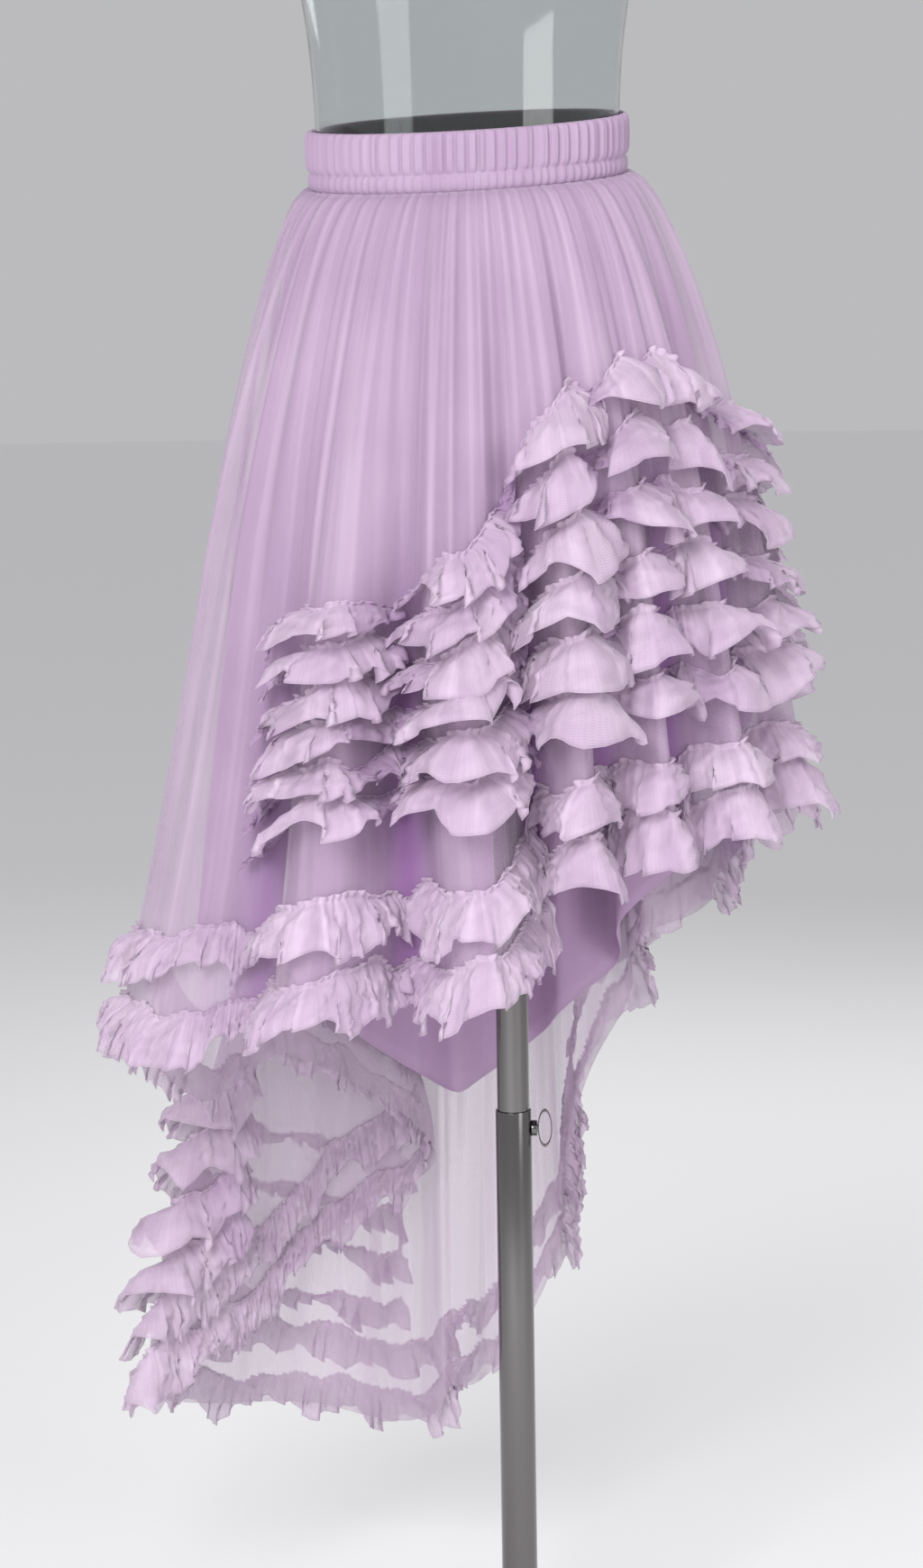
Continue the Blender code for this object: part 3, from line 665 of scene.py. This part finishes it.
# Each fold of the net, clockwise from the right side as seen from above, in degrees and mm.
# at: its place round the waist. swing: how far round the hem it has moved from there.
# reach: hem radius. cone: the same without the folds. height: hem above the floor.
# puff: low in a valley between the flutes, high on a crest.
# top and low: height of the first and the last frill row above the hem. gap: from hem frill to hem frill.
FOLD_COLUMNS = ("at", "swing", "reach", "cone", "height", "puff", "top", "low", "gap")
FOLDS = (
    (2, 0, 226, 250, 738, 6, 272, 106, 30),
    (12, 0, 254, 245, 735, 20, 285, 108, 30),
    (23, 0, 208, 238, 727, 5, 305, 110, 30),
    (34, 2, 246, 231, 722, 20, 334, 115, 32),
    (43, 2, 202, 226, 718, 5, 342, 118, 34),
    (52, 2, 240, 223, 713, 20, 344, 120, 36),
    (60, 2, 196, 222, 708, 5, 338, 122, 39),
    (69, 2, 250, 222, 703, 22, 328, 125, 42),
    (81, -4, 184, 224, 668, 4, 314, 130, 48),
    (94, -5, 264, 230, 616, 25, 304, 150, 52),
    (108, -2, 194, 236, 612, 5, 286, 152, 52),
    (120, -2, 274, 242, 602, 24, 286, 146, 54),
    (134, 4, 224, 250, 580, 5, 290, 138, 54),
    (148, 4, 280, 250, 562, 15, 270, 130, 58),
    (162, 8, 284, 248, 556, 15, 270, 116, 54),
    (174, 14, 226, 244, 486, 8, 280, 110, 52),
    (185, 27, 186, 248, 508, 6, 290, 104, 46),
    (198, 59, 170, 256, 408, 3, 300, 100, 46),
    (207, 32, 220, 258, 348, 4, 306, 100, 46),
    (217, 4, 262, 260, 276, 7, 236, 100, 46),
    (228, -26, 300, 262, 228, 20, 236, 100, 46),
    (236, -16, 312, 264, 190, 8, 236, 100, 46),
    (244, -6, 290, 264, 176, 8, 236, 100, 46),
    (254, 2, 268, 260, 152, 20, 236, 100, 46),
    (263, 0, 216, 254, 196, 4, 312, 100, 46),
    (271, 0, 260, 252, 194, 20, 310, 100, 46),
    (284, 0, 274, 252, 304, 20, 306, 100, 46),
    (292, -2, 222, 250, 414, 5, 302, 100, 44),
    (301, -3, 266, 250, 524, 20, 300, 98, 44),
    (311, -5, 222, 250, 580, 5, 300, 96, 40),
    (322, -9, 264, 250, 604, 20, 294, 92, 36),
    (340, -4, 228, 252, 672, 5, 280, 106, 32),
    (351, -1, 253, 252, 714, 19, 270, 106, 31),
)
LINING_FOLD_COLUMNS = ("at", "gap", "height")
LINING_FOLDS = (
    # mm inside the net at the lining's hem, and that hem's height
    (0, 12, 806),
    (25, 14, 796),
    (45, 14, 790),
    (68, 16, 784),
    (90, 18, 742),
    (115, 26, 688),
    (140, 34, 655),
    (165, 38, 622),
    (185, 12, 600),
    (198, 14, 580),
    (212, 62, 552),
    (230, 96, 520),
    (248, 82, 486),
    (265, 40, 464),
    (290, 34, 520),
    (320, 40, 646),
    (340, 26, 740),
)
LINING_STEPS = 600
LINING_LEVELS = 46
LINING_CLOTH_THICK = 0.0008
LINING_GORES = ("lining_front_right", "lining_front_left", "lining_back_left", "lining_back_right")


def ramp(value, first, last):
    """0 up to first and 1 from last on, in a straight line between them."""
    return np.clip((value - first) / (last - first), 0, 1)


def round_and_round(columns, name, at):
    """Smooth value of a column at angles `at`, closed on itself after 360 degrees."""
    knots = np.concatenate([columns["at"] - 360.0, columns["at"], columns["at"] + 360.0])
    values = np.tile(columns[name], 3)
    step = np.diff(knots)
    slope = np.diff(values) / step
    slopes = np.zeros_like(values)
    slopes[1:-1] = (slope[:-1] * step[1:] + slope[1:] * step[:-1]) / (step[1:] + step[:-1])
    return curve_through(knots, values, slopes, np.mod(np.asarray(at, float), 360.0))


def fold_size(name, at):
    """A column of the net's folds in metres."""
    return MM * round_and_round(folds, name, at)


def top_of_net(at, inset=SEAM_GAP):
    """Height at which the net or the lining starts, just under the waistband."""
    x, y = around(at, waist_radius(at) - inset)
    return waist_height(x, y) - BAND_HEIGHT - STRIP_HEIGHT - SEAM_GAP


def net_radius(at, along):
    """Radius of the net without its small gathers, from 0 at the waist to 1 at the hem."""
    start = waist_radius(at) - SEAM_GAP
    cone = fold_size("cone", at)
    reach = fold_size("reach", at)
    return start + (cone - start) * along**FLARE + (reach - cone) * along**FOLD_GROWTH


folds = table(FOLD_COLUMNS, FOLDS)
lining_folds = table(LINING_FOLD_COLUMNS, LINING_FOLDS)
lining_cloth = cloth_finish(
    "lining cloth", colour=(0.52, 0.345, 0.545), shade=(0.46, 0.295, 0.49), threads_mm=0.7, sheen=0.3,
    crinkle_mm=4.0
)
at, along = np.meshgrid(np.linspace(0, 360, LINING_STEPS + 1), np.linspace(0, 1, LINING_LEVELS))
clear_of_net = NET_THICK + 2 * SEAM_GAP
top = top_of_net(at, clear_of_net)
height = top + (MM * round_and_round(lining_folds, "height", at) - top) * along
beside = ramp(top - height, 0.0, top - fold_size("height", at))
inside = MM * round_and_round(lining_folds, "gap", at) * along**LINING_DRAW_IN
inside += LINING_EASE * ramp(along, 0.0, LINING_EASED_BY)
drawn_up = gathers(at, *LINING_GATHERS) * np.exp(-along / LINING_GATHERS_FADE)
long_folds = gathers(at, *LINING_FOLD_GATHERS) * np.sin(np.pi * along**LINING_FOLD_RISE)
x, y = around(at, net_radius(at, beside) - clear_of_net - inside - drawn_up - long_folds)
places = np.stack([x, y, height], axis=-1)
lining = laid_sheet(places, at / 360 * LINING_HEM_WIDTH, top - height)
apply_step(lining, "SOLIDIFY", thickness=LINING_CLOTH_THICK, offset=-1)
settle(lining, "lining_cloth", lining_cloth, "form", *LINING_GORES, slot="lining")


# Net overskirt: one wide flared panel of fine lilac net, gathered into the band over the lining.
# It falls in deep flutes, short at the front right and long at the back left, and shows what is behind it.
NET_STEPS = 960
NET_LEVELS = 48
NET_LEVEL_GROWTH = 1.15
NET_CLOTH_THICK = 0.0005
NET_MIDDLE_WIDTH = 2.2
NET_GATHERS = {
    # metres that they stand out, how many round the waist, seed, sharpness
    "drawn up": (0.0040, 60, 6.0, 0.8),
    "running": (0.0044, 37, 7.0, 2.4),
    "soft": (0.0060, 19, 8.0, 1.3),
}
NET_GATHERS_FADE = 0.26
PAST_HEM = 1.1
RUNNING_REACH = 1.05
RUNNING_RISE = 0.6
SOFT_FULL_AT = 0.3
SOFT_LOST_AT_HEM = 0.6
VALLEY_PUFF = 5.0
CREST_PUFF = 19.0
FLANK_PINCH = 0.011
PINCH_FROM = 0.4
PINCH_FULL_AT = 0.8
SWING_FROM = 0.45
ROWS_FROM_DEG = -30
ROWS_TO_DEG = 145
ROWS_FADE_DEG = 15
# Painted shade on the net between the flutes: where it starts and is full on the way down, and how it grows
# away from a crest.
DARK_FROM = 0.35
DARK_FULL_AT = 0.65
DARK_GROWTH = 1.5


def flute_crest(at):
    """0 in the valleys between the flutes, 1 along their crests."""
    return ramp(round_and_round(folds, "puff", at), VALLEY_PUFF, CREST_PUFF)


def beside_rows(at):
    """1 where the six long frill rows cover the net, 0 elsewhere, with soft ends."""
    turned = np.mod(at + 180, 360) - 180
    starts = ramp(turned, ROWS_FROM_DEG, ROWS_FROM_DEG + ROWS_FADE_DEG)
    return starts * ramp(turned, ROWS_TO_DEG, ROWS_TO_DEG - ROWS_FADE_DEG)


def net_drape(at, along):
    """How far the net's gathers and small folds stand out of its flutes, in metres. The flutes' flanks are
    drawn in, so that each crest becomes a narrow tube towards the hem."""
    down = np.clip(along, 0, PAST_HEM)
    drawn_up = gathers(at, *NET_GATHERS["drawn up"]) * np.exp(-down / NET_GATHERS_FADE)
    reach = np.clip(down * RUNNING_REACH, 0, 1) ** RUNNING_RISE
    running = gathers(at, *NET_GATHERS["running"]) * np.sin(np.pi * reach)
    soft = gathers(at, *NET_GATHERS["soft"]) * ramp(down, 0, SOFT_FULL_AT)
    soft = soft * (1 - SOFT_LOST_AT_HEM * np.clip(down, 0, 1))
    crest = flute_crest(at)
    pinched = FLANK_PINCH * 4 * crest * (1 - crest) * ramp(down, PINCH_FROM, PINCH_FULL_AT)
    return drawn_up + running + soft - pinched


def net_place(at, along, lifted=True):
    """Point of the net at a waist angle and a share of the way to the hem, and past the hem too."""
    late = ramp(along, SWING_FROM, 1.0)
    angle = at + round_and_round(folds, "swing", at) * late**2 * (3 - 2 * late)
    radius = net_radius(at, along)
    if lifted:
        radius = radius + net_drape(at, along)
    x, y = around(angle, radius)
    top = top_of_net(at)
    return np.stack([x, y, top + (fold_size("height", at) - top) * along], axis=-1)


# The fine net's deep colour is painted shade: it darkens the net in the valleys between the flutes beside the
# frill rows, and partly stands for the many layers of net lying there.
net_cloth = cloth_finish(
    "fine net", colour=(0.73, 0.58, 0.74), shade=(0.65, 0.49, 0.67), threads_mm=1.3, sheen=0.5,
    cover=(0.24, 0.33), folded=0.20, deep=(0.36, 0.18, 0.42)
)
at, along = np.meshgrid(np.linspace(0, 360, NET_STEPS + 1), np.linspace(0, 1, NET_LEVELS) ** NET_LEVEL_GROWTH)
places = net_place(at, along)
# Painted shade mask: from partway down, in the valleys between the flutes, and only beside the long frill
# rows.
net_painted_shade = (1 - flute_crest(at)) ** DARK_GROWTH * ramp(along, DARK_FROM, DARK_FULL_AT) * beside_rows(at)
net = laid_sheet(places, at / 360 * NET_MIDDLE_WIDTH, top_of_net(at) - places[..., 2], valley=net_painted_shade)
apply_step(net, "SOLIDIFY", thickness=NET_CLOTH_THICK, offset=-1)
settle(net, "net_overskirt", net_cloth, "form", "overskirt", slot="net")


# Frill rows: strips of net gathered to about two thirds of their length and sewn on by the upper edge.
# Six run from the front left round the right side and four short ones hang at the back left, like petals.
FRILL_STEP = 0.0017
FRILL_CLOTH_THICK = 0.0006
FRILL_LIFT = 0.0009
FRILL_FULLNESS = 1.5
STRIP_WIDTH = 0.044
SEAM_SAMPLES = 4001
PROBE_DEG = 0.5
PROBE_SHARE = 0.004
SEAM_START = 0.0015
STAND_GROWTH = 2.1
SWELL_GROWTH = 1.2
FALL_GROWTH = 1.15
DROP_GROWTH = 0.9
CAP_GROWTH = 0.5
ARCH_MIDDLE = 0.4
SMALL_CREASE = 0.0013
SMALL_CREASES_A_RUFFLE = 3.1
SMALL_CREASE_PART = (0.14, 0.80)
CRUMPLE = 0.0042
CRUMPLE_PART = (0.04, 0.96)
CRUMPLE_CRISP = 0.97
CRUMPLE_LEAN_DOWN = 0.030
CRUMPLE_LEAN_UP = -0.022
HEADER_STAND = 0.016
HEADER_RUFFLE = 0.015
HEADER_RISE = 0.006
ROCK_SHARE = 0.75
ROCK_TWICE_SHARE = 0.45
DIP_SHARE = 0.40
VALLEY_STAND = 0.45
VALLEY_SWELL = 0.35
VALLEY_SHIFT = 0.4
# How much painted shade the frill strips get in a valley between the flutes, and how it grows away from a
# crest.
PAINTED_VALLEY_SHADE = 0.85
PAINTED_VALLEY_SHADE_GROWTH = 1.3
PHASES = {"header": 0.8, "header rise": 1.9, "rock": 1.1, "rock twice": 0.5, "dip": 0.7}
FRILL_FALL = (-0.14, -0.07, 0.0, 0.06, 0.14, 0.24, 0.36, 0.49, 0.62, 0.75, 0.88, 1.0)
NOISE_PARTS = (0.6, 1.0, 1.4, 1.9, 2.6)
NOISE_TOTAL = 2.1
FRILL_NOISE = {
    # own seed, metres from one rise to the next, how far it strays
    "place": (7, 0.11, 2.2),
    "crest": (8, 0.10, 0.12),
    "cap": (9, 0.12, 0.15),
    "seam": (5, 0.085, 0.0045),
    "drop": (1, 0.07, 0.25),
    "ruffles": (2, 0.07, 2.0),
    "small creases": (6, 0.03, 1.2),
    "size": (3, 0.05, 0.40),
    "stand": (4, 0.09, 0.28),
    "crumple down": (11, 0.034, 3),
    "crumple up": (12, 0.026, 3),
}
ROW_RUFFLE = 0.020
ROW_SWELL = 0.0092
ROW_STAND_OUT = 0.021
ROW_EVEN = 0.24
ROW_ARCH = 0.007
ROW_DROP_SHARE = 0.86
ROW_DROP_LEAST = 0.029
ROW_DROP_MOST = 0.036
ROW_GROUPS = (
    # piece, node, how many, from and to in degrees round the waist, first seed
    ("petal_row", "frill_row", 6, -18.0, 138.0, 11),
    ("back_petal_row", "back_frill_row", 4, 219.0, 253.0, 501),
)


def slow_noise(along, length, wave, seed):
    """Uneven numbers from about -1 to 1 along a strip, `wave` metres from one rise to the next. They are the
    same at both ends, for a strip that closes on itself."""
    chance = np.random.default_rng(seed)
    total = 0 * along
    for part in NOISE_PARTS:
        count = max(1, round(part * length / wave))
        total = total + np.sin(2 * np.pi * (count * along / length + chance.random())) / part**0.5
    return total / NOISE_TOTAL


def crease(phase, crisp=0.80):
    """A wave with straight flanks, as thin stiff net folds. It turns more sharply as crisp nears 1."""
    return np.arcsin(crisp * np.sin(phase)) / np.arcsin(crisp)


def half_wave(free, first, last):
    """Part of a swell from 0 up to 1 and down again, from first at the seam to last at the free edge."""
    return np.sin(np.pi * (first + (last - first) * free))


def more_on_crest(valley_share, crest):
    """valley_share in a valley, and 1 on a crest."""
    return valley_share + (1 - valley_share) * crest


def frill_strip(seam_height, drop, first, last, ruffle, swell, stand_out, even, arch, seed):
    """A gathered strip along the net from angle first to last. seam_height and drop are functions of the
    angle. ruffle is the length of one wave at the free edge, swell how far it swings, and stand_out how far
    the petals stand off the flutes' crests. even is the drop in the valleys as a share of the drop on a
    crest, and arch how much higher the seam is on a crest."""
    fine = np.linspace(first, last, SEAM_SAMPLES)
    seam_share = seam_height(fine) / (top_of_net(fine) - fold_size("height", fine))
    line = net_place(fine, 1 - seam_share, lifted=False)
    run = np.concatenate([[0], np.cumsum(np.linalg.norm(np.diff(line, axis=0), axis=1))])
    length = run[-1]
    along_seam = np.linspace(0, length, int(length / FRILL_STEP) + 1)
    at = np.interp(along_seam, run, fine)[None, :]
    s = along_seam[None, :]
    fall = np.array(FRILL_FALL)[:, None]
    free = np.clip(fall, 0, 1)
    header = np.clip(-fall, 0, 1)

    def stray(kind, place=s):
        own_seed, wave, size = FRILL_NOISE[kind]
        return size * slow_noise(place, length, wave, seed + own_seed)

    crest = np.clip(flute_crest(at + stray("place")) + stray("crest"), 0, 1)
    cap = more_on_crest(VALLEY_STAND, crest ** (CAP_GROWTH + stray("cap")))
    seam = seam_height(at) + arch * (crest - ARCH_MIDDLE) + stray("seam")
    droop = drop(at) * more_on_crest(even, crest**DROP_GROWTH) * (1 + stray("drop"))
    hangs = np.sign(fall) * np.abs(fall) ** FALL_GROWTH * droop
    along = 1 - (seam - hangs) / (top_of_net(at) - fold_size("height", at))
    base = net_place(at, along, lifted=False)
    beside = net_place(at + PROBE_DEG, along, lifted=False) - base
    below = net_place(at, along + PROBE_SHARE, lifted=False) - base
    away = np.cross(beside, below)
    away /= np.linalg.norm(away, axis=2, keepdims=True)
    sideways = beside / np.linalg.norm(beside, axis=2, keepdims=True)
    count = round(length / ruffle)
    phase = 2 * np.pi * count * s / length + stray("ruffles")
    small = 2 * np.pi * round(SMALL_CREASES_A_RUFFLE * count) * s / length + stray("small creases")
    size = 1 + stray("size")
    stand = 1 - (1 - free) ** STAND_GROWTH
    out = (SEAM_START + stand_out * cap * (1 + stray("stand"))) * stand
    swinging = swell * free**SWELL_GROWTH * size * more_on_crest(VALLEY_SWELL, crest)
    out = out + swinging * (0.5 + 0.5 * crease(phase))
    out = out + SMALL_CREASE * crease(small) * half_wave(free, *SMALL_CREASE_PART)
    crumple = crease(stray("crumple down", s + CRUMPLE_LEAN_DOWN * free), CRUMPLE_CRISP) * free
    crumple = crumple + crease(stray("crumple up", s + CRUMPLE_LEAN_UP * free), CRUMPLE_CRISP) * (1 - free)
    out = out + CRUMPLE * crumple * half_wave(free, *CRUMPLE_PART)
    out = out + header * (HEADER_STAND + HEADER_RUFFLE * crease(small + PHASES["header"]))
    rocking = ROCK_TWICE_SHARE * crease(2 * phase + PHASES["rock twice"])
    rocking = rocking + ROCK_SHARE * crease(phase + PHASES["rock"])
    shift = swell * free * rocking * more_on_crest(VALLEY_SHIFT, crest)
    dip = DIP_SHARE * swell * free**2 * crease(phase + PHASES["dip"]) * size
    places = net_place(at, along) + away * (FRILL_LIFT + out)[..., None] + sideways * shift[..., None]
    places[..., 2] += header * HEADER_RISE * crease(small / 2 + PHASES["header rise"]) - dip
    closed = last - first == 360
    if closed:
        places[:, -1] = places[:, 0]
    across = FRILL_FULLNESS * s + 0 * along
    # Painted shade: the strip turns darker and more opaque between the flutes, where shade falls under the
    # petals, and less so on the evenly hanging hem frills.
    valley = PAINTED_VALLEY_SHADE * (1 - crest) ** PAINTED_VALLEY_SHADE_GROWTH * (1 - even) + 0 * along
    return laid_sheet(places, across, fall * STRIP_WIDTH + 0 * along, closed, valley), length


def row_height(at, share):
    """Height of a row's seam above the hem, share of the way from the first row down to the last."""
    top, low = fold_size("top", at), fold_size("low", at)
    return top + (low - top) * share


def row_drop(at, rows):
    """How far a row hangs, a little less than the distance to the next."""
    spacing = (fold_size("top", at) - fold_size("low", at)) / (rows - 1)
    return np.clip(spacing * ROW_DROP_SHARE, ROW_DROP_LEAST, ROW_DROP_MOST)


# The frill net's deep colour is painted shade, laid on between the flutes.
frill_net = cloth_finish(
    "frill net", colour=(0.87, 0.71, 0.88), shade=(0.75, 0.57, 0.76), threads_mm=1.3, sheen=0.5,
    cover=(0.48, 0.60), folded=0.26, deep=(0.42, 0.22, 0.48), streak=(130, 6), free_edge=STRIP_WIDTH,
    thinned=0.75
)
for piece, node, rows, first, last, seed in ROW_GROUPS:
    for number in range(rows):
        strip, length = frill_strip(
            lambda at: row_height(at, number / (rows - 1)), lambda at: row_drop(at, rows), first, last,
            ROW_RUFFLE, ROW_SWELL, ROW_STAND_OUT, ROW_EVEN, ROW_ARCH, 10 * number + seed
        )
        apply_step(strip, "SOLIDIFY", thickness=FRILL_CLOTH_THICK, offset=-1)
        settle(strip, f"{piece}_{number + 1}", frill_net, "form", f"{node}_{number + 1}", slot="frill")


# Hem frills: two more gathered strips of the same net all the way round the hem.
# Their gathers are closer, and the lower strip hangs a little past the net's own edge.
LOWER_SEAM = 0.022
HEM_STAND_OUT = 0.013
HEM_EVEN = 0.78
HEM_ARCH = 0.004
HEM_FRILLS = (
    # piece, node, how much of the fold table's gap is above the lower seam, drop, ruffle, swell, seed
    ("hem_petals_lower", "hem_frill_lower", 0, 0.036, 0.015, 0.0050, 301),
    ("hem_petals_upper", "hem_frill_upper", 1, 0.034, 0.017, 0.0056, 401),
)
for piece, node, gaps, drop, ruffle, swell, seed in HEM_FRILLS:
    strip, length = frill_strip(
        lambda at: LOWER_SEAM + gaps * fold_size("gap", at), lambda at: drop + 0 * at, 0.0, 360.0,
        ruffle, swell, HEM_STAND_OUT, HEM_EVEN, HEM_ARCH, seed
    )
    apply_step(strip, "SOLIDIFY", thickness=FRILL_CLOTH_THICK, offset=-1)
    settle(strip, piece, frill_net, "form", node, slot="frill")
